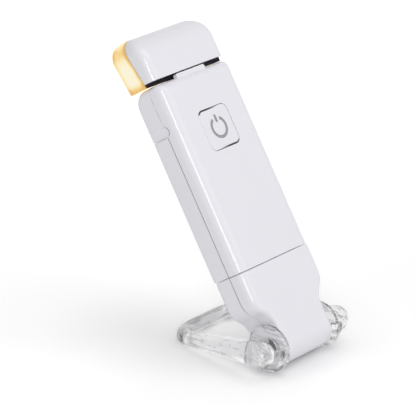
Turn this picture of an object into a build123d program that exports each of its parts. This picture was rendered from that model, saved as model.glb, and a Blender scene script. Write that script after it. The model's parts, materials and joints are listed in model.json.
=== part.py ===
from build123d import *
from math import asin, cos, degrees, pi, radians, sin, sqrt, tan
import os

# Clip-on book light: a flat handle with a hinged lamp head at its top and a
# pull-off clip base at its bottom, which swings in a clear plastic loop.
# Millimetres. The part stands on z = 0 on the loop and leans back towards +Y;
# +X is across the width, and the origin is under the middle of its box.
# Pieces of the handle, head and clip base are drawn in an upright frame:
# x across, y from front (-) to rear (+) with 0 at mid-thickness, and z up the
# handle with 0 at the height of the clip hinge. tip_back leans them.
# Cutting solids run 1 mm or more past what they cut.

# Handle
width = 28.0
thickness = 10.7
handle_length = 51.5
edge_radius = 2.7
top_corner_radius = 1.4
wall = 1.3
parting_forward = 0.85
parting_line_width = 0.18
parting_line_depth = 0.25
seam_round = 0.3
part_gap = 0.3
lean_angle = 31.05

# Pry groove and joint between the upper rear shell and the rear cover
cover_length = 38.4
groove_height = 2.75
groove_depth = 0.5
groove_end_forward = 2.15
groove_slit_width = 0.22
groove_slit_depth = 0.45
groove_slit_back = 0.42
joint_gap = 0.04
shell_round = 1.1
cover_round = 0.4

# Clip base
base_height = 20.3
shoulder_clear = 1.2
shoulder_height = 9.0
base_edge_radius = 2.1
tongue_edge_radius = 0.8
shoulder_steps = 8
tongue_width = 18.6
hinge_forward = 0.45
seam_gap = 0.12

# Clear loop
ear_radius = 6.2
ear_thickness = 1.3
ear_gap = 0.3
ear_edge_round = 0.3
loop_reach = 30.2
bar_radius = 2.05
bend_radius = 7.2
arm_root_radius = 3.4
arm_root_x = 15.3
arm_root_forward = 1.5
arm_corner_x = 11.75
web_setback = 0.2
web_ring = 2.3
web_length = 2.1
web_overlap = 0.4
ear_recess_radius = 2.9
ear_recess_depth = 0.55

# Clip hinge
pin_radius = 1.5
pin_chamfer = 0.2
running_gap = 0.05
washer_thickness = 0.22
washer_radius = 3.1
clip_ring_radius = 2.5
clip_ring_thickness = 0.3

# Plug and its sleeve in the clip base
plug_width = 12.0
plug_height = 4.5
plug_reach = 12.0
plug_tail = 7.0
plug_metal = 0.3
plug_corner = 0.5
plug_catch = 2.0
plug_catch_rise = 4.5
plug_gap = 0.2
sleeve_wall = 0.9
insulator_height = 1.9
insulator_gap = 0.2
insulator_setback = 0.6
contact_count = 4
contact_setback = 1.4
contact_thickness = 0.15
contact_width = 1.2
contact_pitch = 2.25

# Main board, battery and switch
board_thickness = 0.8
board_front = 2.15
board_side_gap = 1.2
board_end_gap = 0.9
board_corner = 1.0
chip_height = 0.9
chip_rise = 8.0
charger_size = 4.0
charger_side = 5.5
driver_width = 3.5
driver_length = 3.0
driver_side = 5.25
passive_length = 1.6
passive_height = 0.5
passive_width = 0.9
passive_rise = 2.0
passive_count = 5
passive_pitch = 3.2
battery_width = 20.0
battery_length = 27.0
battery_thickness = 3.9
battery_gap = 0.15
battery_round = 1.56
battery_tab_width = 12.0
battery_tab_thickness = 0.6
battery_tab_length = 1.4
pad_setback = 3.0
switch_size = 6.0
switch_height = 0.95
switch_corner = 0.6
plunger_radius = 1.6
plunger_gap = 0.12
screw_radius = 0.7
screw_head_radius = 1.5
screw_head_height = 0.6
screw_slot_length = 2.1
screw_slot_width = 0.3
boss_wall = 0.9

# Power button
button_width = 10.9
button_height = 10.75
button_radius = 1.7
button_gap = 0.15
button_edge_round = 0.25
button_centre = 35.88
button_proud = 0.05
button_flange = 0.8
button_flange_thickness = 0.4
button_travel = 0.35
ring_radius = 2.58
stroke = 0.8
ring_opening = 58.0
stem_length = 2.0
inlay_depth = 0.3
inlay_proud = 0.02

# Head
head_gap = 1.25
head_height = 12.25
head_front_setback = 1.1
head_overhang = 1.15
head_lean_out = 1.45
head_front_round = 7.0
head_rear_round = 3.0
head_corner_radius = 5.0
head_crown = 0.25
head_edge_radius = 2.2
lens_drop = 1.0
split_low_forward = 0.85
split_high_back = 1.7
head_wall = 1.3
lens_wall = 1.4

# Head hinge
head_axis_back = 1.15
head_axis_drop = 4.2
barrel_radius = 2.6
neck_width = 10.0
neck_gap = 0.3
neck_fit = 0.15
neck_front = 0.6
neck_rear = 2.9
cheek_wall = 1.4
shield_rise = 0.2
shield_thickness = 1.3
shield_side = 0.35
shield_gap = 0.1
pivot_radius = 0.8
pivot_length = 5.0
lip_height = 0.9
lip_wall = 1.2
lip_width = 11.0
lip_corner = 0.54
lead_radius = 0.35
lead_spacing = 1.0
lead_joint = 2.0
lead_slot_width = 3.2
lead_slot_depth = 1.6
lead_hole_gap = 0.15

# Light source
led_board_thickness = 0.8
led_board_height = 7.4
led_board_setback = 1.6
led_board_corner = 0.8
led_width = 3.5
led_height = 2.8
led_thickness = 0.7
led_count = 3
led_rise = 0.3
tray_depth = 1.9
tray_wall = 0.8
tray_rim = 1.4
tray_setback = 0.55
tray_gap = 0.2
chip_gap = 0.3
frame_thickness = 1.2

# Heights and depths that follow from the sizes above
half = thickness / 2
parting = -parting_forward
handle_bottom = base_height
handle_top = base_height + handle_length
cover_top = handle_bottom + cover_length
hinge_y = -hinge_forward
head_axis_y = head_axis_back
head_axis_z = handle_top - head_axis_drop
head_bottom = handle_top + head_gap
head_top = head_bottom + head_height
lens_bottom = head_bottom - lens_drop
head_front = -half + head_front_setback
head_rear_low = half + head_overhang
head_rear_high = head_rear_low + head_lean_out
button_z = handle_bottom + button_centre
board_y = -board_front
board_back = board_y + board_thickness
board_half = width / 2 - wall - board_side_gap
board_low = handle_bottom + wall + board_end_gap
slot_front = -neck_front - 3 * neck_gap
slot_floor = head_axis_z - barrel_radius - neck_gap
board_high = slot_floor - cheek_wall - part_gap
plug_y = board_back + plug_height / 2
loop_tilt = degrees(asin((ear_radius - bar_radius) / loop_reach))
tongue_half = tongue_width / 2
ear_inner = tongue_half + ear_gap
ear_outer = ear_inner + ear_thickness
led_board_half = width / 2 - lens_wall - part_gap - led_board_setback
led_span = 2 * (led_board_half - tray_setback - tray_rim) - led_width
led_pitch = led_span / (led_count - 1)


def block(x, y, z):
    """Box between three pairs of limits."""
    size = (x[1] - x[0], y[1] - y[0], z[1] - z[0])
    middle = ((x[0] + x[1]) / 2, (y[0] + y[1]) / 2, (z[0] + z[1]) / 2)
    return Pos(*middle) * Box(*size)


def rod_x(radius, x, y, z):
    """Cylinder along X between two limits."""
    return Pos((x[0] + x[1]) / 2, y, z) * Rot(0, 90, 0) * Cylinder(radius, x[1] - x[0])


def rod_y(radius, x, y, z):
    """Cylinder along Y between two limits."""
    return Pos(x, (y[0] + y[1]) / 2, z) * Rot(90, 0, 0) * Cylinder(radius, y[1] - y[0])


def rod_z(radius, x, y, z):
    """Cylinder along Z between two limits."""
    return Pos(x, y, (z[0] + z[1]) / 2) * Cylinder(radius, z[1] - z[0])


def side_prism(wire, x_half):
    """Solid from a closed outline in the y-z plane, through the width."""
    return extrude(Plane.YZ * make_face(wire), x_half, both=True)


def front_prism(wire, y):
    """Solid from a closed outline in the x-z plane, between two depths."""
    face = Plane.XZ * make_face(wire)
    return Pos(0, y[0], 0) * extrude(face, -(y[1] - y[0]))


# Handle

def handle_form(inset):
    """Outer form of the handle, or its hollow when inset by the wall."""
    x = width / 2 - inset
    y = half - inset
    low = handle_bottom + inset
    high = handle_top - inset
    bend = head_axis_drop - inset
    edges = Polyline((-y, high), (-y, low), (y, low), (y, head_axis_z))
    arc = RadiusArc((y, head_axis_z), (y - bend, high), -bend)
    roof = Line((y - bend, high), (-y, high))
    body = side_prism(edges + arc + roof, x)
    corners = body.edges().filter_by(Axis.Y).group_by(Axis.Z)[-1]
    body = fillet(corners, max(top_corner_radius - inset, 0.3))
    long_edges = [
        e for e in body.edges()
        if abs(abs(e.center().X) - x) < 0.01 and e.center().Z < handle_top - top_corner_radius
        and e.length > 2 and abs(e.center().Y) > y - bend
    ]
    body = fillet(long_edges, max(edge_radius - inset, 0.4))
    if inset == 0:
        body = fillet(body.edges().group_by(Axis.Z)[0], seam_round)
    return body


def neck_slot(margin):
    """Room for the neck of the head in the top of the handle."""
    x = neck_width / 2 + neck_gap + margin
    return block((-x, x), (slot_front - margin, half + 1), (slot_floor - margin, handle_top + 1))


def pry_groove():
    """Shallow groove across each side, with a round end and a crescent slit in front."""
    radius = groove_height / 2
    front = -groove_end_forward + radius
    middle = cover_top + radius
    cut = block((-width, width), (front, half + 1), (cover_top, cover_top + groove_height))
    cut += rod_x(radius, (-width, width), front, middle)
    slit = rod_x(radius, (-width, width), front, middle)
    core = front + groove_slit_back
    slit -= rod_x(radius - groove_slit_width, (-width, width), core, middle)
    slit -= block((-width, width), (front, half), (cover_top - 1, handle_top))
    return groove_sides(cut, groove_depth) + groove_sides(slit, groove_depth + groove_slit_depth)


def groove_sides(cut, depth):
    """The parts of a cut that lie within a depth of either side of the handle."""
    core = width / 2 - depth
    return cut - block((-core, core), (-half - 1, half + 2), (cover_top - 1, handle_top))


def parting_line(z):
    """Thin slab along the joint between the front and rear halves."""
    y = parting_line_width / 2
    return block((-width, width), (parting - y, parting + y), z)


def lead_hole():
    """Hole in the floor of the neck's slot for the pair of wires."""
    x = lead_spacing / 2 + lead_radius + lead_hole_gap
    y = lead_radius + lead_hole_gap
    middle = board_back + lead_radius
    z = (slot_floor - 2 * cheek_wall, slot_floor + lead_hole_gap)
    return block((-x, x), (middle - y, middle + y), z)


def shell_blank():
    """Hollow handle with the walls beside the neck's slot."""
    outer = handle_form(0)
    hollow = handle_form(wall)
    room = neck_slot(cheek_wall)
    shell = outer - (hollow - room)
    shell -= neck_slot(0)
    shell -= lead_hole()
    shell -= parting_line((0, handle_top + 1)) - handle_form(parting_line_depth)
    return shell - pry_groove()


def plug_window(margin):
    """Opening for the metal shell of the plug."""
    x = plug_width / 2 + margin
    y = plug_height / 2 + margin
    low = handle_bottom - plug_reach - plug_gap
    high = handle_bottom + plug_tail + part_gap
    return block((-x, x), (plug_y - y, plug_y + y), (low, high))


def screw_spots():
    """Places of the two screws that hold the main board."""
    x = board_half - screw_head_radius - part_gap
    z = board_high - screw_head_radius - part_gap
    return [(-x, z), (x, z)]


def front_shell():
    front_zone = block((-width, width), (-half - 1, parting), (0, handle_top + lip_height + 1))
    shell = shell_blank() & front_zone
    lip_x = lip_width / 2
    lip_y = -half + wall
    lip_z = (handle_top - wall, handle_top + lip_height)
    lip = block((-lip_x, lip_x), (lip_y, lip_y + lip_wall), lip_z)
    lip = fillet(lip.edges().filter_by(Axis.Y).group_by(Axis.Z)[-1], lip_corner)
    shell += lip
    x = button_width / 2 + button_gap
    z = button_height / 2 + button_gap
    hole = block((-x, x), (-half - 1, -half + wall + 0.5), (button_z - z, button_z + z))
    shell -= fillet(hole.edges().filter_by(Axis.Y), button_radius + button_gap)
    for sx, sz in screw_spots():
        shell += rod_y(screw_radius + boss_wall, sx, (-half + wall / 2, board_y), sz)
        shell -= rod_y(screw_radius, sx, (-half + wall, board_y + 1), sz)
    return shell - plug_window(running_gap)


def rear_zone(z):
    return block((-width, width), (parting, half + 1), z)


def rear_outline_edges(piece, z):
    """Outer edges of a rear piece at one height, without its inner ones."""
    found = []
    for edge in piece.edges():
        at = edge.center()
        flat = edge.bounding_box().size.Z < 0.01
        if flat and abs(at.Z - z) < 0.01 and at.Y > half - wall / 2:
            found.append(edge)
    return found


def rear_corner_cut():
    """What rounding takes off the lower rear corner of the rear shell."""
    y = half - shell_round
    z = cover_top + shell_round
    corner = block((-width, width), (y, half + 1), (cover_top - 1, z))
    return corner - rod_x(shell_round, (-width, width), y, z)


def rear_shell():
    shell = shell_blank() & rear_zone((cover_top, handle_top + 1)) - rear_corner_cut()
    x = (neck_width / 2, neck_width / 2 + pivot_length)
    for side in (-1, 1):
        span = sorted((side * x[0], side * x[1]))
        shell -= rod_x(pivot_radius, span, head_axis_y, head_axis_z)
    return shell


def rear_cover():
    cover = shell_blank() & rear_zone((0, cover_top - joint_gap))
    cover = fillet(rear_outline_edges(cover, cover_top - joint_gap), cover_round)
    return cover - plug_window(running_gap)


def head_pivot_pins():
    """Two stub pins, which leave the middle of the barrel free for the leads."""
    pins = Part()
    inner = neck_width / 2 - pivot_length / 2 + 0.5
    outer = neck_width / 2 + neck_gap + cheek_wall
    for side in (-1, 1):
        pins += rod_x(pivot_radius, sorted((side * inner, side * outer)), head_axis_y, head_axis_z)
    return pins


def main_board():
    board = block((-board_half, board_half), (board_y, board_back), (board_low, board_high))
    board = fillet(board.edges().filter_by(Axis.Y), board_corner)
    for sx, sz in screw_spots():
        board -= rod_y(screw_radius, sx, (board_y - 1, board_back + 1), sz)
    return board


def screw(x, z, seat, tip):
    """Pan-head screw driven towards -Y, with its head on the seat."""
    body = rod_y(screw_radius, x, (tip, seat), z)
    head = rod_y(screw_head_radius, x, (seat, seat + screw_head_height), z)
    long = screw_slot_length / 2
    short = screw_slot_width / 2
    y = (seat + screw_head_height / 2, seat + 1)
    cross = block((x - long, x + long), y, (z - short, z + short))
    cross += block((x - short, x + short), y, (z - long, z + long))
    return body + head - cross


def board_screws():
    screws = Part()
    for sx, sz in screw_spots():
        screws += screw(sx, sz, board_back, -half + wall)
    return screws


def board_part(x, z, size, height):
    """One small part on the front of the main board."""
    x_half = size[0] / 2
    z_half = size[1] / 2
    return block((x - x_half, x + x_half), (board_y - height, board_y), (z - z_half, z + z_half))


def board_components():
    """Charger chip, driver chip and a row of small passive parts."""
    low = board_low + plug_tail
    parts = board_part(-charger_side, low + chip_rise, (charger_size, charger_size), chip_height)
    parts += board_part(driver_side, low + chip_rise, (driver_width, driver_length), chip_height)
    for step in range(passive_count):
        x = passive_pitch * (step - (passive_count - 1) / 2)
        z = low + passive_rise + passive_width / 2
        parts += board_part(x, z, (passive_length, passive_width), passive_height)
    return parts


def power_switch():
    size = switch_size / 2
    y = (board_y - switch_height, board_y)
    body = block((-size, size), y, (button_z - size, button_z + size))
    body = chamfer(body.edges().filter_by(Axis.Y), switch_corner)
    return body - rod_y(plunger_radius + plunger_gap, 0, (y[0] - 1, board_y - plunger_gap), button_z)


def battery_limits():
    low = handle_bottom + plug_tail + 3 * part_gap
    return (low, low + battery_length)


def battery_cell():
    x = battery_width / 2
    y = board_back + battery_gap
    z = battery_limits()
    cell = block((-x, x), (y, y + battery_thickness), z)
    cell = fillet(cell.edges().filter_by(Axis.Z), battery_round)
    middle = y + battery_thickness / 2
    tab_y = (middle - battery_tab_thickness / 2, middle + battery_tab_thickness / 2)
    tab_x = battery_tab_width / 2
    return cell + block((-tab_x, tab_x), tab_y, (z[1] - part_gap, z[1] + battery_tab_length))


def battery_pad():
    """Foam pad that holds the cell against the rear cover."""
    x = battery_width / 3
    y = board_back + battery_gap + battery_thickness
    z = battery_limits()
    return block((-x, x), (y, half - wall), (z[0] + pad_setback, z[1] - pad_setback))


def plug_shell():
    low = handle_bottom - plug_reach
    high = handle_bottom + plug_tail
    x = plug_width / 2
    y = plug_height / 2
    outer = block((-x, x), (plug_y - y, plug_y + y), (low, high))
    outer = fillet(outer.edges().filter_by(Axis.Z), plug_corner)
    x -= plug_metal
    y -= plug_metal
    inner = block((-x, x), (plug_y - y, plug_y + y), (low - 1, high - plug_metal))
    shell = outer - fillet(inner.edges().filter_by(Axis.Z), plug_corner - plug_metal)
    for side in (-1, 1):
        spot = side * plug_width / 4
        catch_x = (spot - plug_catch / 2, spot + plug_catch / 2)
        catch_z = (low + plug_catch_rise, low + plug_catch_rise + plug_catch)
        shell -= block(catch_x, (plug_y - plug_height, plug_y + plug_height), catch_z)
    return shell


def insulator_front():
    return plug_y - plug_height / 2 + plug_metal


def plug_insulator():
    low = handle_bottom - plug_reach + insulator_setback
    high = handle_bottom + plug_tail - plug_metal
    x = plug_width / 2 - plug_metal - insulator_gap
    front = insulator_front()
    return block((-x, x), (front, front + insulator_height), (low, high))


def plug_contacts():
    """Four contact strips on the plug's insulator."""
    low = handle_bottom - plug_reach + contact_setback
    high = handle_bottom + plug_tail - plug_metal - 1
    y = insulator_front() + insulator_height
    strips = Part()
    for step in range(contact_count):
        middle = (step - (contact_count - 1) / 2) * contact_pitch
        x = (middle - contact_width / 2, middle + contact_width / 2)
        strips += block(x, (y, y + contact_thickness), (low, high))
    return strips


# Power button

def power_symbol_outline(depth):
    """Broken ring with an upright stroke: the common on and off mark."""
    y = (-half - button_proud - inlay_proud, -half - button_proud + depth)
    ring = rod_y(ring_radius + stroke / 2, 0, y, button_z)
    ring -= rod_y(ring_radius - stroke / 2, 0, y, button_z)
    reach = ring_radius * 2
    spread = reach * tan(radians(ring_opening / 2))
    corners = [(0, button_z), (spread, button_z + reach), (-spread, button_z + reach), (0, button_z)]
    ring -= front_prism(Polyline(*corners), (y[0] - 1, y[1] + 1))
    x = stroke / 2
    top = button_z + ring_radius + stroke
    return ring + block((-x, x), y, (top - stem_length, top))


def power_button():
    x = button_width / 2
    z = button_height / 2
    face = -half - button_proud
    back = -half + wall + running_gap
    cap = block((-x, x), (face, back), (button_z - z, button_z + z))
    cap = fillet(cap.edges().filter_by(Axis.Y), button_radius)
    cap = fillet(cap.edges().group_by(Axis.Y)[0], button_edge_round)
    x += button_flange
    z += button_flange
    flange = block((-x, x), (back, back + button_flange_thickness), (button_z - z, button_z + z))
    flange = fillet(flange.edges().filter_by(Axis.Y), button_radius)
    return cap + flange - power_symbol_outline(inlay_depth)


def power_symbol():
    return power_symbol_outline(inlay_depth)


def switch_plunger():
    front = -half + wall + running_gap + button_flange_thickness
    back = board_y - plunger_gap - button_travel - running_gap
    return rod_y(plunger_radius, 0, (front, back), button_z)


# Head

def head_form(inset):
    """Outer form of the whole head, or its plain hollow when inset by a wall."""
    front = head_front + inset
    top = head_top - inset
    low = lens_bottom + inset
    round_front = head_front_round - inset
    round_rear = head_rear_round - inset
    rear_low = head_rear_low - inset
    rear_high = head_rear_high - inset
    shoulder = (rear_high, top - round_rear)
    lines = Polyline((front, top - round_front), (front, low), (rear_low, low), shoulder)
    rear_arc = RadiusArc(shoulder, (rear_high - round_rear, top), -round_rear)
    roof = Line((rear_high - round_rear, top), (front + round_front, top))
    front_arc = RadiusArc((front + round_front, top), (front, top - round_front), -round_front)
    body = side_prism(lines + rear_arc + roof + front_arc, width / 2 - inset)
    corner = head_corner_radius - inset
    x = width / 2 - inset
    gate = block((-x, x), (front - 1, rear_high + 1), (low - 1, top + head_crown))
    gate = fillet(gate.edges().filter_by(Axis.Y).group_by(Axis.Z)[-1], corner)
    body = body & gate
    if inset:
        return body
    rim = [
        e for e in body.edges()
        if abs(e.center().X) > x / 2 and e.center().Z > low + 0.1 and e.bounding_box().size.X < x
    ]
    return fillet(rim, head_edge_radius)


def behind_split():
    """Space behind the slanting joint between the cap and the lens."""
    slope = (split_high_back + split_low_forward) / (head_top - lens_bottom)
    above = head_top + 1
    below = lens_bottom - 1
    high = split_high_back + slope
    low = -split_low_forward - slope
    back = head_rear_high + thickness
    outline = Polyline((low, below), (high, above), (back, above), (back, below), (low, below))
    return side_prism(outline, width)


def neck_room():
    """Room round the neck in the bottom of the cap and of the lens."""
    x = neck_width / 2 + neck_fit
    y = (-split_low_forward - neck_fit, neck_rear + neck_fit)
    return block((-x, x), y, (head_axis_z, head_bottom + 2 * head_wall))


def head_spots():
    """Places of the two screws that hold the frame in the head's cap."""
    x = led_board_half - screw_head_radius - running_gap
    return [(-x, led_z()), (x, led_z())]


def led_z():
    return (head_bottom + head_top) / 2 + led_rise


def head_cap():
    below = block((-width, width), (-thickness, thickness), (0, head_bottom))
    cap = head_form(0) - behind_split() - below
    cap -= head_form(head_wall) - Pos(0, 0, head_wall) * below
    cap -= neck_room()
    for sx, sz in head_spots():
        cap += rod_y(screw_radius + boss_wall, sx, (head_front + head_wall / 2, -neck_front), sz)
        cap -= rod_y(screw_radius, sx, (head_front + head_wall, -neck_front + 1), sz)
    return cap


def lens_cover():
    lens = head_form(0) & behind_split()
    lens -= head_form(lens_wall)
    return lens - neck_room()


def light_shield():
    """Dark strip in the gap under the head, in front of the lens."""
    x = width / 2 - shield_side
    back = -split_low_forward - shield_gap
    front = back - shield_thickness
    z = (handle_top + shield_rise, head_bottom)
    neck_x = neck_width / 2
    return block((-x, x), (front, back), z) + block((-neck_x, neck_x), (front, -neck_front), z)


def head_frame():
    """Inner plate of the head, with the neck and the barrel of its hinge."""
    x = neck_width / 2
    seat = -neck_front + frame_thickness
    zone = block((-width, width), (-neck_front, seat), (head_bottom + head_wall, head_top))
    frame = head_form(lens_wall + part_gap) & zone
    neck = block((-x, x), (-neck_front, neck_rear), (head_axis_z, head_bottom + head_wall + 0.4))
    frame += neck + rod_x(barrel_radius, (-x, x), head_axis_y, head_axis_z) + light_shield()
    slot_x = lead_slot_width / 2
    slot_y = lead_slot_depth / 2
    frame -= block((-slot_x, slot_x), (head_axis_y - slot_y, head_axis_y + slot_y),
                   (head_axis_z - barrel_radius - 1, head_top))
    inner = neck_width / 2 - pivot_length / 2 + 0.4
    for side in (-1, 1):
        span = sorted((side * inner, side * (x + 1)))
        frame -= rod_x(pivot_radius + running_gap, span, head_axis_y, head_axis_z)
    for sx, sz in head_spots():
        frame -= rod_y(screw_radius, sx, (-half, half), sz)
        sink = (seat - screw_head_height - running_gap, seat + 1)
        frame -= rod_y(screw_head_radius + running_gap, sx, sink, sz)
    return frame


def head_screws():
    seat = -neck_front + frame_thickness - screw_head_height - running_gap
    screws = Part()
    for sx, sz in head_spots():
        screws += screw(sx, sz, seat, head_front + head_wall)
    return screws


def led_board_back():
    return -neck_front + frame_thickness


def led_board():
    x = led_board_half
    y = led_board_back()
    z = (led_z() - led_board_height / 2, led_z() + led_board_height / 2)
    board = block((-x, x), (y, y + led_board_thickness), z)
    return fillet(board.edges().filter_by(Axis.Y), led_board_corner)


def led_places():
    return [(step - (led_count - 1) / 2) * led_pitch for step in range(led_count)]


def led_chips():
    y = led_board_back() + led_board_thickness
    z = led_z()
    chips = Part()
    for x in led_places():
        chips += block((x - led_width / 2, x + led_width / 2), (y, y + led_thickness),
                       (z - led_height / 2, z + led_height / 2))
    return chips


def reflector_tray():
    """White tray that throws the light back through the lens."""
    y = led_board_back() + led_board_thickness
    x = led_board_half - tray_setback
    z_half = led_board_height / 2 - tray_gap
    z = led_z()
    tray = block((-x, x), (y, y + tray_depth), (z - z_half, z + z_half))
    for cx in led_places():
        low = Plane((cx, y, z), x_dir=(1, 0, 0), z_dir=(0, 1, 0))
        low = low * Rectangle(led_width + 2 * chip_gap, led_height + 2 * chip_gap)
        wide = Plane((cx, y + tray_depth, z), x_dir=(1, 0, 0), z_dir=(0, 1, 0))
        wide = wide * Rectangle(led_pitch - tray_wall, 2 * (z_half - tray_wall))
        tray -= loft([low, wide])
    return tray


def led_leads():
    """Two insulated wires from the light source down through the neck."""
    leads = Part()
    high = led_z() - led_board_height / 2
    low = head_axis_z - barrel_radius / 2
    for side in (-0.5, 0.5):
        leads += rod_z(lead_radius, side * lead_spacing, head_axis_y, (low, high))
    return leads


def board_leads():
    """The same wires from the main board up through the floor of the neck's slot."""
    leads = Part()
    y = board_back + lead_radius
    for side in (-0.5, 0.5):
        leads += rod_z(lead_radius, side * lead_spacing, y, (board_high - lead_joint, slot_floor))
    return leads


# Clip base

def shoulder_limits():
    low = washer_radius + shoulder_clear
    return (low, low + shoulder_height)


def base_half_width(z):
    """Half width of the clip base at a height: an S of two arcs at the shoulder."""
    low, high = shoulder_limits()
    drop = width / 2 - tongue_half
    bend = (drop * drop + shoulder_height * shoulder_height) / (4 * drop)
    if z >= (low + high) / 2:
        rise = min(z - high, 0)
        return width / 2 - bend + sqrt(bend * bend - rise * rise)
    rise = max(z - low, 0)
    return tongue_half + bend - sqrt(bend * bend - rise * rise)


def base_section(z, inset):
    """Rounded cross-section of the clip base, with sharper edges at the tongue."""
    low, high = shoulder_limits()
    blend = min(max((z - low) / shoulder_height, 0), 1)
    blend = blend * blend * (3 - 2 * blend)
    radius = tongue_edge_radius + (base_edge_radius - tongue_edge_radius) * blend
    x = 2 * (base_half_width(z) - inset)
    return Pos(0, 0, z) * RectangleRounded(x, thickness - 2 * inset, max(radius - inset, 0.3))


def base_bar(inset):
    """Straight top, blended shoulders and straight tongue of the clip base."""
    low, high = shoulder_limits()
    lead = shoulder_height / shoulder_steps / 2
    steps = [low + shoulder_height * i / shoulder_steps for i in range(shoulder_steps + 1)]
    heights = [low - 2 * lead, low - lead] + steps + [high + lead, high + 2 * lead]
    shoulders = loft([base_section(z, inset) for z in heights])
    top = extrude(base_section(heights[-1], inset), base_height - seam_gap - heights[-1])
    tongue = extrude(base_section(heights[0], inset), -(heights[0] + half + 1))
    return shoulders + top + tongue


def base_form():
    """Outer form of the clip base, with a full-round end at the hinge."""
    top = base_height - seam_gap
    sides = Polyline((-half, 0), (-half, top), (half, top), (half, 0))
    end = ThreePointArc((-half, 0), (0, -half), (half, 0))
    body = base_bar(0) & side_prism(sides + end, width)
    return fillet(body.edges().group_by(Axis.Z)[-1], seam_round)


def base_hollow():
    """Room inside the clip base, which stops above the hinge boss."""
    floor = base_height - plug_reach - 4 * plug_gap - sleeve_wall
    zone = block((-width, width), (-half, half), (floor, base_height - seam_gap - wall))
    return base_bar(wall) & zone


def base_blank():
    body = base_form() - base_hollow()
    body -= parting_line((shoulder_limits()[0], base_height)) - base_bar(parting_line_depth)
    body -= rod_x(pin_radius, (-width, width), hinge_y, 0)
    return body - plug_window(plug_gap + sleeve_wall)


def clip_base_front():
    return base_blank() & block((-width, width), (-half - 1, parting), (-half - 1, base_height))


def clip_base_rear():
    return base_blank() & block((-width, width), (parting, half + 1), (-half - 1, base_height))


def plug_sleeve():
    """Lining that grips the plug when the base is pushed home."""
    low = base_height - plug_reach - plug_gap
    x = plug_width / 2 + plug_gap
    y = plug_height / 2 + plug_gap
    room = block((-x, x), (plug_y - y, plug_y + y), (low - 1, base_height))
    x += sleeve_wall
    y += sleeve_wall
    return block((-x, x), (plug_y - y, plug_y + y), (low, base_height - seam_gap - part_gap)) - room


def clip_pivot_pin():
    pin = rod_x(pin_radius, (-ear_outer, ear_outer), hinge_y, 0)
    return chamfer(pin.edges().filter_by(GeomType.CIRCLE), pin_chamfer)


def friction_washers():
    """A washer on each side of the tongue, which keeps the loop where it is put."""
    washers = Part()
    for side in (-1, 1):
        span = sorted((side * tongue_half, side * (tongue_half + washer_thickness)))
        washers += rod_x(washer_radius, span, hinge_y, 0) - rod_x(pin_radius, span, hinge_y, 0)
    return washers


def pin_clip_rings():
    """An open retaining ring on each end of the pin, in the ear's recess."""
    rings = Part()
    for side in (-1, 1):
        low = ear_outer - ear_recess_depth + running_gap
        span = sorted((side * low, side * (low + clip_ring_thickness)))
        ring = rod_x(clip_ring_radius, span, hinge_y, 0) - rod_x(pin_radius, span, hinge_y, 0)
        gap_y = pin_radius * 0.8
        ring -= block(span, (hinge_y - gap_y, hinge_y + gap_y), (0, ear_radius))
        rings += ring
    return rings


# Clear loop, drawn flat: x across, y along the arms from the hinge, z up

def loop_arm(side):
    """One tapering arm with its round front end, up to the rear bend."""
    root = Vector(side * arm_root_x, -arm_root_forward, 0)
    corner = Vector(side * arm_corner_x, loop_reach, 0)
    along = (corner - root).normalized()
    turn = Vector(-side, 0, 0).get_angle(along)
    reach = bend_radius * sin(radians(turn / 2)) / cos(radians(turn / 2))
    length = (corner - root).length - reach
    slope = asin((arm_root_radius - bar_radius) / length)
    touch = (arm_root_radius * cos(slope), arm_root_radius * sin(slope))
    tip = Line((0, length), (bar_radius, length)) + Line((bar_radius, length), touch)
    nose = ThreePointArc(touch, (arm_root_radius * cos(-pi / 4), arm_root_radius * sin(-pi / 4)),
                         (0, -arm_root_radius))
    half_arm = make_face(tip + nose + Line((0, -arm_root_radius), (0, length)))
    arm = revolve(half_arm, Axis.Y)
    return Plane(origin=root, z_dir=along) * Rot(90, 0, 0) * arm


def loop_bar():
    """Crossbar with its two bends, as one round rod."""
    points = []
    for side in (1, -1):
        root = Vector(side * arm_root_x, -arm_root_forward, 0)
        corner = Vector(side * arm_corner_x, loop_reach, 0)
        points += [root, corner] if side > 0 else [corner, root]
    path = FilletPolyline(*points, radius=bend_radius)
    pieces = path.edges().sort_by(Axis.Y)[-3:]
    route = Wire(pieces)
    start = route @ 0
    disc = Plane(origin=start, z_dir=route % 0) * Circle(bar_radius)
    return sweep(disc, path=route)


def loop_ear(side):
    """Flat eye on the pin, with a half ring that carries the arm."""
    span = sorted((side * ear_inner, side * ear_outer))
    ear = rod_x(ear_radius, span, 0, 0)
    ear = fillet(ear.edges().filter_by(GeomType.CIRCLE), ear_edge_round)
    carry = sorted((side * (ear_inner + web_overlap), side * (ear_outer + web_length)))
    ring_inner = ear_recess_radius + web_setback
    ring = rod_x(ring_inner + web_ring, carry, 0, 0) - rod_x(ring_inner, carry, 0, 0)
    ring -= block((-width, width), (-2 * ear_radius, 2 * ear_radius), (web_setback, ear_radius))
    return ear + ring


def clip_loop():
    loop = loop_bar()
    for side in (-1, 1):
        loop += loop_arm(side)
        loop += loop_ear(side)
    for side in (-1, 1):
        beyond = side * (ear_outer + ear_recess_depth)
        through = sorted((side * (ear_inner - 1), beyond))
        recess = sorted((side * (ear_outer - ear_recess_depth), beyond))
        loop -= rod_x(pin_radius + running_gap, through, 0, 0)
        loop -= rod_x(ear_recess_radius, recess, 0, 0)
    return loop


# Placing and writing

tip_back = Pos(0, 0, ear_radius) * Rot(-lean_angle, 0, 0) * Pos(0, hinge_forward, 0)
lay_down = Pos(0, 0, ear_radius) * Rot(-loop_tilt, 0, 0)

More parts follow.
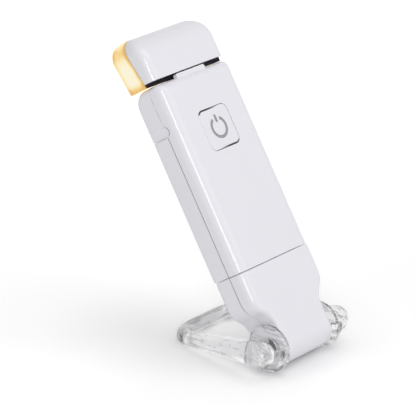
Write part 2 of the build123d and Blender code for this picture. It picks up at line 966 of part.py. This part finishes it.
upright_makers = [
    front_shell, rear_shell, rear_cover, main_board, board_screws, board_components, power_switch,
    battery_cell, battery_pad, plug_shell, plug_insulator, plug_contacts, head_pivot_pins, board_leads,
    power_button, power_symbol, switch_plunger,
    head_cap, head_frame, head_screws, lens_cover, led_board, led_chips, reflector_tray, led_leads,
    clip_base_front, clip_base_rear, plug_sleeve, clip_pivot_pin, friction_washers, pin_clip_rings,
]


def build():
    """Every piece by its name, standing in the part's own frame."""
    pieces = {make.__name__: tip_back * make() for make in upright_makers}
    pieces["clip_loop"] = lay_down * clip_loop()
    boxes = [piece.bounding_box() for piece in pieces.values()]
    middle = (min(b.min.Y for b in boxes) + max(b.max.Y for b in boxes)) / 2
    return {name: Pos(0, -middle, 0) * piece for name, piece in pieces.items()}, -middle


parts_made, origin_shift = build()
os.makedirs("parts", exist_ok=True)
for name, piece in parts_made.items():
    solids = piece.solids()
    whole = solids[0] if len(solids) == 1 else Compound(children=list(solids))
    export_step(whole, f"parts/{name}.step")
print(f"origin shift in y {origin_shift:.4f} mm, loop tilt {loop_tilt:.3f} degrees")
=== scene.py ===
import json
import math

import bmesh
import bpy
from mathutils import Matrix, Vector

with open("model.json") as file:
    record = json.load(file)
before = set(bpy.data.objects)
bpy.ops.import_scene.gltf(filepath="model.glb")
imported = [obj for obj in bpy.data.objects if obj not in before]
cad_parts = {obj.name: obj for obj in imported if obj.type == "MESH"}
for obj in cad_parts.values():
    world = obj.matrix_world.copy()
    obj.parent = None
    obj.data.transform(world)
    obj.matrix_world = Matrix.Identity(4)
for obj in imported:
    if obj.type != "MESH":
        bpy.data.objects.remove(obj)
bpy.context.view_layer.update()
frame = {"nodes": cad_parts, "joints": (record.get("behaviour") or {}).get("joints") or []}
nodes = frame["nodes"]
joints = {joint["name"]: joint for joint in frame["joints"]}
clip_hinge = Vector(joints["clip_swing"]["pos_m"])
MM = 0.001
PER_METRE = 1000

# Camera, in degrees and metres, measured from the point on the floor below the clip hinge
CAMERA_AZIMUTH = -50.63
CAMERA_ELEVATION = 20.87
CAMERA_DISTANCE = 725.77 * MM
CAMERA_ACROSS = -21.97 * MM
CAMERA_RAISED = 38.21 * MM
PICTURE_WIDTH = 416
FOCAL_PIXELS = 2846.62
SENSOR_WIDTH = 36.0

# Floor and fill light. The floor's painted shadow and painted light run between these distances in
# millimetres, from the hinge for the contact and from the middle for the others
FLOOR_SIZE = 4.0
FLOOR_LIFT = 0.225
CONTACT_REACH = (3, 14)
CONTACT_STRETCH = 0.6
BEHIND_REACH = (-10, 20)
NEAR_REACH = (18, 50)
WIDE_REACH = (50, 300)
FILL_COLOUR = (0.98, 0.985, 1.0)
FILL_STRENGTH = 0.45

# Soft boxes, aimed at the middle of the object
BOX_TARGET = Vector((0, 0, 40 * MM))
BOX_DISTANCE = 0.9

# Sizes in the handle's upright frame, in millimetres: x is across, back runs rearwards from the
# middle of its thickness, and up runs up the handle from the clip hinge
LEAN = math.radians(31.05)
HINGE_FORWARD = 0.45
HALF_WIDTH = 14.0

# Parting line, which gets painted shade between the tongue and the groove
PARTING = -0.85
PARTING_HALF = 0.085
PARTING_SOFT = 0.015
PARTING_START = (8.5, 11.5)

# Groove across each side, and the slit at its front end, which is deeper than SLIT_INSIDE and painted
# dark as shade
GROOVE_LOW = 58.7
GROOVE_HIGH = 61.45
GROOVE_SOFT = 0.2
SLIT_FRONT = -2.3
SLIT_BACK = -1.3
SLIT_MARGIN = 0.1
SLIT_INSIDE = (13.44, 13.48)

# Button, with the rim on which its gap's painted shade lies
BUTTON_MIDDLE = 56.18
BUTTON_ROUND = 1.7
BUTTON_ACROSS = 5.45
BUTTON_UP = 5.375
RIM_START = BUTTON_ROUND - 0.34
RIM_FULL = BUTTON_ROUND - 0.27
RIM_END = (4.3, 4.8)
RIM_FADE = (-1.5, 3.0)

# Lens: its outline on the head's side as (back, up), and how far its amber edges reach inwards
SPLIT_LOW = Vector((-0.85, 72.05))
SPLIT_HIGH = Vector((1.7, 85.3))
LENS_BACK_LOW = Vector((6.5, 72.05))
LENS_BACK_HIGH = Vector((7.95, 82.3))
AMBER_SIDE = 2.6
AMBER_REAR = 3.2
AMBER_TOP = 7.0
AMBER_FOOT = 2.6
AMBER_SPLIT = 1.6
AMBER_TIP = (80.5, 86.5)
SPLIT_LINE = (0.02, 0.16)

# Clear loop, where its painted grey lies: its ends and crossbar by the distance behind the hinge, its
# far side by x
LOOP_END = (4, 9)
LOOP_CROSSBAR = (24, 28)
LOOP_FAR_SIDE = (11, 13)
FLOW_STRETCH = 0.07
PAINTED_STREAK_BAND = (0.50, 0.62)


# Shader tools

class Value:
    """A socket that Python's arithmetic turns into Math nodes."""

    def __init__(self, finish, socket):
        self.finish = finish
        self.socket = socket

    def math(self, operation, *others):
        inputs = dict(enumerate((self, *others)))
        return self.finish.node("ShaderNodeMath", {"operation": operation}, inputs)

    def __add__(self, other):
        return self.math("ADD", other)

    def __sub__(self, other):
        return self.math("SUBTRACT", other)

    def __rsub__(self, other):
        return -self + other

    def __mul__(self, other):
        return self.math("MULTIPLY", other)

    def __neg__(self):
        return self * -1

    def __abs__(self):
        return self.math("ABSOLUTE")

    __radd__ = __add__
    __rmul__ = __mul__

    def largest(self, other):
        return self.math("MAXIMUM", other)

    def smooth(self, low, high):
        """0 below one value and 1 above the other, with a soft step between."""
        settings = {"interpolation_type": "SMOOTHSTEP"}
        inputs = {"Value": self, "From Min": low, "From Max": high}
        return self.finish.node("ShaderNodeMapRange", settings, inputs)

    def within(self, low, high, soft):
        """1 between two values, with a soft step outside each."""
        return self.smooth(low - soft, low) * (1 - self.smooth(high, high + soft))


class Finish:
    """The nodes of a new material, or of the world."""

    def __init__(self, name, world=None):
        self.owner = world or bpy.data.materials.new(name)
        self.owner.use_nodes = True
        self.tree = self.owner.node_tree
        self.tree.nodes.clear()

    def node(self, kind, settings=None, inputs=None, out=0):
        """Adds a node, makes its settings, then sets or links its sockets."""
        made = self.tree.nodes.new(kind)
        for name, value in (settings or {}).items():
            if name == "stops":
                self.set_stops(made.color_ramp, value)
            else:
                setattr(made, name, value)
        for name, value in (inputs or {}).items():
            if isinstance(value, Value):
                self.tree.links.new(value.socket, made.inputs[name])
            else:
                made.inputs[name].default_value = value
        return Value(self, made.outputs[out]) if made.outputs else made

    def set_stops(self, ramp, stops):
        while len(ramp.elements) < len(stops):
            ramp.elements.new(0.5)
        for element, (position, colour) in zip(ramp.elements, stops):
            element.position = position
            element.color = (*colour, 1)

    def ramp(self, factor, stops):
        return self.node("ShaderNodeValToRGB", {"stops": stops}, {"Fac": factor}, "Color")

    def colour(self, value):
        return value if isinstance(value, Value) else (*value, 1)

    def mix(self, factor, first, second):
        """Mixes two colours."""
        inputs = {0: factor, 6: self.colour(first), 7: self.colour(second)}
        return self.node("ShaderNodeMix", {"data_type": "RGBA"}, inputs, 2)

    @property
    def place(self):
        """Object coordinates."""
        return self.node("ShaderNodeTexCoord", out="Object")

    def mapped(self, **inputs):
        """Object coordinates through a Mapping node."""
        return self.node("ShaderNodeMapping", {}, {"Vector": self.place, **inputs})

    def axes(self):
        """Object coordinates in millimetres: across, rearwards and upwards."""
        return [
            self.node("ShaderNodeSeparateXYZ", {}, {0: self.place}, axis) * PER_METRE
            for axis in range(3)
        ]

    def upright(self):
        """Place in the handle's own frame: across, rearwards and up it."""
        x, y, z = self.axes()
        y = y - clip_hinge.y * PER_METRE
        z = z - clip_hinge.z * PER_METRE
        back = y * math.cos(LEAN) - z * math.sin(LEAN) - HINGE_FORWARD
        up = y * math.sin(LEAN) + z * math.cos(LEAN)
        return x, back, up

    def length(self, vector):
        """Length of a vector, in millimetres."""
        settings = {"operation": "LENGTH"}
        return self.node("ShaderNodeVectorMath", settings, {0: vector}, "Value") * PER_METRE

    def noise(self, scale, detail=2.0, roughness=0.5, where=None):
        inputs = {
            "Vector": where or self.place,
            "Scale": scale,
            "Detail": detail,
            "Roughness": roughness,
        }
        return self.node("ShaderNodeTexNoise", {}, inputs, "Fac")

    def bump(self, height, distance, strength):
        inputs = {"Height": height, "Distance": distance, "Strength": strength}
        return self.node("ShaderNodeBump", {}, inputs, "Normal")

    def surface(self, **inputs):
        """Principled shader. Names are the sockets' own, with _ for a space."""
        named = {name.replace("_", " "): value for name, value in inputs.items()}
        for name in ("Base Color", "Emission Color"):
            if name in named:
                named[name] = self.colour(named[name])
        return self.node("ShaderNodeBsdfPrincipled", {}, named, "BSDF")

    def seen(self):
        """1 for what is seen directly, in a gloss or through clear plastic."""
        camera, gloss, through = [
            self.node("ShaderNodeLightPath", out=ray)
            for ray in ("Is Camera Ray", "Is Glossy Ray", "Is Transmission Ray")
        ]
        return camera.largest(gloss).largest(through)

    def done(self, shader):
        self.node("ShaderNodeOutputMaterial", {}, {"Surface": shader})
        return self.owner


def dress(material, *names):
    """Gives CAD nodes their finish."""
    for name in names:
        mesh = nodes[name].data
        mesh.materials.clear()
        mesh.materials.append(material)


# Finishes

def white_case():
    """Satin-gloss moulded plastic: faint cloudiness, a fine moulded skin, and painted shade in the
    parting line and the groove's slit.
    """
    finish = Finish("white_case")
    cloud = finish.noise(scale=60, detail=3)
    tint = finish.mix(cloud, (0.860, 0.850, 0.895), (0.880, 0.870, 0.915))
    x, back, up = finish.upright()
    # Painted shade: the parting line and the slit at the groove's front end are painted near-black,
    # because their gaps lie in shade
    joint = back.within(PARTING - PARTING_HALF, PARTING + PARTING_HALF, PARTING_SOFT)
    joint = joint * up.smooth(*PARTING_START) * (1 - up.smooth(GROOVE_LOW, GROOVE_LOW + GROOVE_SOFT))
    slit = 1 - abs(x).smooth(*SLIT_INSIDE)
    slit = slit * back.within(SLIT_FRONT, SLIT_BACK, SLIT_MARGIN)
    slit = slit * up.within(GROOVE_LOW - SLIT_MARGIN, GROOVE_HIGH + SLIT_MARGIN, SLIT_MARGIN)
    tint = finish.mix(joint.largest(slit) * 0.85, tint, (0.05, 0.05, 0.055))
    skin = finish.noise(scale=6500, roughness=0.6)
    wave = finish.noise(scale=110, detail=1)
    return finish.done(finish.surface(
        Base_Color=tint,
        Roughness=cloud * 0.05 + 0.17,
        Normal=finish.bump(skin * 0.4 + wave, distance=0.012 * MM, strength=0.35),
    ))


def button_white():
    """Satin plastic, with painted shade for its gap at the top left and at the bottom right."""
    finish = Finish("button_white")
    cloud = finish.noise(scale=90, detail=3)
    tint = finish.mix(cloud, (0.850, 0.840, 0.885), (0.865, 0.855, 0.900))
    x, _, up = finish.upright()
    rise = up - BUTTON_MIDDLE
    # Distance from the middle of the nearest rounded corner
    over = (abs(x) - (BUTTON_ACROSS - BUTTON_ROUND)).largest(0)
    beyond = (abs(rise) - (BUTTON_UP - BUTTON_ROUND)).largest(0)
    rim = (over * over + beyond * beyond).math("SQRT").smooth(RIM_START, RIM_FULL)
    # Painted shade: the gap's shade is painted dark on the rim, at the top left and at the bottom right
    shade_top_left, shade_foot_right = [
        towards.smooth(*RIM_END) * (1 - across.smooth(*RIM_FADE))
        for towards, across in ((rise, x), (-rise, -x))
    ]
    tint = finish.mix(rim * (shade_top_left + shade_foot_right) * 0.97, tint, (0.02, 0.02, 0.025))
    skin = finish.noise(scale=8000, roughness=0.6)
    return finish.done(finish.surface(
        Base_Color=tint,
        Roughness=cloud * 0.05 + 0.36,
        Normal=finish.bump(skin, distance=0.006 * MM, strength=0.35),
    ))


def symbol_grey():
    """Mid grey moulded plastic with a fine speckle."""
    finish = Finish("symbol_grey")
    speck = finish.noise(scale=9000)
    tint = finish.mix(speck, (0.30, 0.30, 0.32), (0.36, 0.36, 0.38))
    return finish.done(finish.surface(Base_Color=tint, Roughness=speck * 0.15 + 0.4))


def moulded(name, colour, rough=0.45, depth=0.01 * MM, grain=5000, specular=0.5):
    """Plain moulded or painted inner part with a fine grain."""
    finish = Finish(name)
    cloud = finish.noise(scale=300, detail=3)
    darker = tuple(c * 0.92 for c in colour)
    skin = finish.noise(scale=grain, roughness=0.6)
    return finish.done(finish.surface(
        Base_Color=finish.mix(cloud, darker, colour),
        Roughness=cloud * 0.1 + rough,
        Normal=finish.bump(skin, depth, strength=0.4),
        Specular_IOR_Level=specular,
    ))


def metal(name, colour, rough=0.3):
    """Drawn or plated metal with fine streaks along the width."""
    finish = Finish(name)
    streak = finish.noise(scale=5000, detail=3, roughness=0.6, where=finish.mapped(Scale=(0.06, 1, 1)))
    stain = finish.noise(scale=400)
    darker = tuple(c * 0.8 for c in colour)
    return finish.done(finish.surface(
        Base_Color=finish.mix(stain, darker, colour),
        Metallic=1.0,
        Roughness=streak * 0.12 + rough,
        Normal=finish.bump(streak, distance=0.004 * MM, strength=0.4),
    ))


def lit_lens():
    """Frosted lens lit from inside: almost white, and amber along its edges."""
    finish = Finish("lit_lens")
    x, back, up = finish.upright()

    def behind(low, high):
        """Distance behind a line on the head's side, from its two ends."""
        lean = (high.x - low.x) / (high.y - low.y)
        return back - (up - low.y) * lean - low.x

    def near(distance, reach):
        """1 at an edge, down to 0 at its reach."""
        return 1 - distance.smooth(0, reach)

    split = behind(SPLIT_LOW, SPLIT_HIGH)
    # Each face lies at one of these edges, so 1 is taken off
    edge = -1 + sum((
        near(HALF_WIDTH - abs(x), AMBER_SIDE),
        near(-behind(LENS_BACK_LOW, LENS_BACK_HIGH), AMBER_REAR),
        near(SPLIT_HIGH.y - up, AMBER_TOP),
        near(up - SPLIT_LOW.y, AMBER_FOOT),
        near(split, AMBER_SPLIT),
        up.smooth(*AMBER_TIP) * 0.35,
    ))
    grain = finish.noise(scale=700, detail=3)
    glow = finish.ramp(edge * 0.9 + (grain - 0.5) * 0.45, [
        (0.0, (1.0, 0.965, 0.80)),
        (0.3, (1.0, 0.88, 0.54)),
        (0.6, (0.95, 0.65, 0.21)),
        (1.0, (0.75, 0.37, 0.05)),
    ])
    # Painted shade: the seam with the cap is painted dark, in its colour and in its glow
    joint = 1 - split.smooth(*SPLIT_LINE)
    return finish.done(finish.surface(
        Base_Color=finish.mix(joint, (0.30, 0.24, 0.13), (0.06, 0.03, 0.015)),
        Roughness=grain * 0.1 + 0.25,
        Emission_Color=finish.mix(joint, glow, (0.10, 0.05, 0.02)),
        Emission_Strength=0.70,
    ))


def clear_loop():
    """Clear polished plastic with painted shade and reflections: greyer at its outlines, crossbar and
    far end, and in painted streaks along the moulded ripples that bump its rod.
    """
    finish = Finish("clear_loop")
    x, y, _ = finish.axes()
    behind_hinge = y - clip_hinge.y * PER_METRE
    crossbar = behind_hinge.smooth(*LOOP_CROSSBAR)
    end = 1 - behind_hinge.smooth(*LOOP_END)
    far_end = end * x.smooth(*LOOP_FAR_SIDE)
    on_arms, on_crossbar = [
        finish.noise(scale=850, detail=3, roughness=0.6, where=finish.mapped(Scale=stretch))
        for stretch in ((1, FLOW_STRETCH, 1), (FLOW_STRETCH, 1, 1))
    ]
    ripples_and_painted_streaks = on_arms + (on_crossbar - on_arms) * crossbar
    # Painted reflections: grey at the outlines, less so near the ends, and grey streaks in a band of
    # the ripples' noise
    facing = finish.node("ShaderNodeLayerWeight", {}, {"Blend": 0.35}, "Facing")
    shade = ripples_and_painted_streaks.smooth(*PAINTED_STREAK_BAND) * 0.65 + facing * (0.5 - end * 0.35)
    # Painted shade: the crossbar and the far end are painted greyer
    shade = shade + crossbar * 0.5 + far_end * 0.35
    tint = finish.ramp(shade, [
        (0.0, (1.0, 1.0, 1.0)),
        (0.35, (0.96, 0.96, 0.965)),
        (0.7, (0.60, 0.60, 0.61)),
        (1.0, (0.30, 0.30, 0.31)),
    ])
    return finish.done(finish.surface(
        Base_Color=tint,
        Roughness=0.03,
        IOR=1.24,
        Transmission_Weight=1.0,
        Coat_Weight=1.0,
        Coat_Roughness=0.04,
        Normal=finish.bump(ripples_and_painted_streaks, distance=0.3 * MM, strength=0.5),
    ))


# Stage and light

def make_camera():
    """The photograph's view: a long lens from the front left, slightly above."""
    azimuth = math.radians(CAMERA_AZIMUTH)
    elevation = math.radians(CAMERA_ELEVATION)
    back = Vector((
        math.sin(azimuth) * math.cos(elevation),
        -math.cos(azimuth) * math.cos(elevation),
        math.sin(elevation),
    ))
    right = Vector((math.cos(azimuth), math.sin(azimuth), 0))
    up = back.cross(right)
    foot = Vector((0, clip_hinge.y, 0))
    place = foot + back * CAMERA_DISTANCE + right * CAMERA_ACROSS + up * CAMERA_RAISED
    lens = bpy.data.cameras.new("photo_camera")
    lens.sensor_width = SENSOR_WIDTH
    lens.lens = SENSOR_WIDTH * FOCAL_PIXELS / PICTURE_WIDTH
    lens.clip_start = 0.01
    lens.clip_end = 20
    camera = bpy.data.objects.new("photo_camera", lens)
    turn = Matrix((right, up, back)).transposed().to_4x4()
    camera.matrix_world = Matrix.Translation(place) @ turn
    bpy.context.scene.collection.objects.link(camera)
    bpy.context.scene.camera = camera


def floor_white():
    """White table: a painted contact shadow where the object touches it, painted light that grows
    behind it and with distance, and plain white far from it.
    """
    finish = Finish("floor_white")
    soft = finish.noise(scale=3)
    table = finish.surface(
        Base_Color=finish.mix(soft, (0.90, 0.90, 0.90), (0.92, 0.92, 0.92)),
        Roughness=0.7,
        Specular_IOR_Level=0.0,
    )
    _, behind, _ = finish.axes()
    reach = finish.length(finish.place)
    foot = finish.length(finish.mapped(
        Location=(0, -clip_hinge.y, 0),
        Scale=(CONTACT_STRETCH, 1, 1),
    ))
    # Painted shadow and light: the lift is cut near the foot as a contact shadow, and raised behind the
    # object and with distance
    grey = (
        FLOOR_LIFT
        - (1 - foot.smooth(*CONTACT_REACH)) * 0.23
        + behind.smooth(*BEHIND_REACH) * 0.06
        + reach.smooth(*NEAR_REACH) * 0.07
        + reach.smooth(*WIDE_REACH) * 0.25
    )
    tone = finish.mix(grey, (0.0, 0.0, 0.0), (1.0, 1.0, 1.0))
    lift = finish.node("ShaderNodeEmission", {}, {"Color": tone})
    lifted = finish.node("ShaderNodeAddShader", {}, {0: table, 1: lift})
    return finish.done(finish.node("ShaderNodeMixShader", {}, {0: finish.seen(), 1: table, 2: lifted}))


def make_floor():
    """Table top under the object."""
    mesh = bpy.data.meshes.new("floor")
    tool = bmesh.new()
    bmesh.ops.create_grid(tool, x_segments=1, y_segments=1, size=FLOOR_SIZE / 2)
    tool.to_mesh(mesh)
    tool.free()
    mesh.materials.append(floor_white())
    floor = bpy.data.objects.new("floor", mesh)
    bpy.context.scene.collection.objects.link(floor)


def make_world():
    """Even studio fill, which looks plain white behind the object."""
    world = bpy.data.worlds.new("studio")
    bpy.context.scene.world = world
    finish = Finish("studio", world)
    fill, white = [
        finish.node("ShaderNodeBackground", {}, {"Color": (*colour, 1), "Strength": strength})
        for colour, strength in ((FILL_COLOUR, FILL_STRENGTH), ((1, 1, 1), 1.0))
    ]
    mixed = finish.node("ShaderNodeMixShader", {}, {0: finish.seen(), 1: fill, 2: white})
    finish.node("ShaderNodeOutputWorld", {}, {"Surface": mixed})


def soft_box(name, direction, width, height, strength):
    """Soft light with a flat face. Its strength is the brightness of that face."""
    place = BOX_TARGET + Vector(direction).normalized() * BOX_DISTANCE
    lamp = bpy.data.lights.new(name, "AREA")
    lamp.shape = "RECTANGLE"
    lamp.size = width
    lamp.size_y = height
    lamp.energy = strength * math.pi * width * height
    box = bpy.data.objects.new(name, lamp)
    box.rotation_mode = "QUATERNION"
    box.rotation_quaternion = (BOX_TARGET - place).to_track_quat("-Z", "Y")
    box.location = place
    bpy.context.scene.collection.objects.link(box)


make_camera()
make_floor()
make_world()
soft_box("top_box", (0.25, -0.45, 1.0), width=0.7, height=0.7, strength=1.5)
soft_box("key_box", (0.45, -0.80, 0.45), width=0.5, height=0.5, strength=0.4)
soft_box("camera_box", (-0.735, -0.58, 0.37), width=0.15, height=0.45, strength=10.0)
bpy.context.scene.view_settings.view_transform = "Standard"

# Outside
dress(white_case(), "front_shell", "rear_shell", "rear_cover", "clip_base_front", "clip_base_rear",
      "head_cap")
dress(button_white(), "power_button")
dress(symbol_grey(), "power_symbol")
dress(lit_lens(), "lens_cover")
dress(clear_loop(), "clip_loop")

# Plastic and foam inside
dress(moulded("inner_plastic", (0.78, 0.78, 0.8)), "switch_plunger", "plug_sleeve")
# Painted shade: the head frame is near-black so that the gap under the head reads as shade
dress(moulded("frame_dark", (0.016, 0.011, 0.020), specular=0.1), "head_frame")
dress(moulded("washer_plastic", (0.82, 0.82, 0.82), rough=0.35), "friction_washers")
dress(moulded("reflector_white", (0.93, 0.93, 0.92), rough=0.25), "reflector_tray")
dress(moulded("plug_white", (0.9, 0.9, 0.9), rough=0.4), "plug_insulator")
dress(moulded("foam_black", (0.05, 0.05, 0.055), rough=0.9, depth=0.05 * MM, grain=3000), "battery_pad")

# Electrical parts
dress(moulded("led_phosphor", (1.0, 0.85, 0.4), rough=0.3), "led_chips")
dress(moulded("board_white", (0.88, 0.88, 0.86), rough=0.35), "led_board")
dress(moulded("board_green", (0.05, 0.22, 0.1), rough=0.3), "main_board")
dress(moulded("chip_black", (0.03, 0.03, 0.035), rough=0.4), "board_components", "power_switch")
dress(moulded("lead_white", (0.85, 0.85, 0.85), rough=0.4), "board_leads", "led_leads")

# Metal parts
dress(metal("dark_steel", (0.2, 0.19, 0.21)), "board_screws", "head_screws", "head_pivot_pins",
      "clip_pivot_pin", "pin_clip_rings")
dress(metal("battery_foil", (0.72, 0.73, 0.75), rough=0.35), "battery_cell")
dress(metal("plug_steel", (0.75, 0.75, 0.77), rough=0.2), "plug_shell")
dress(metal("contact_gold", (0.9, 0.65, 0.25), rough=0.2), "plug_contacts")
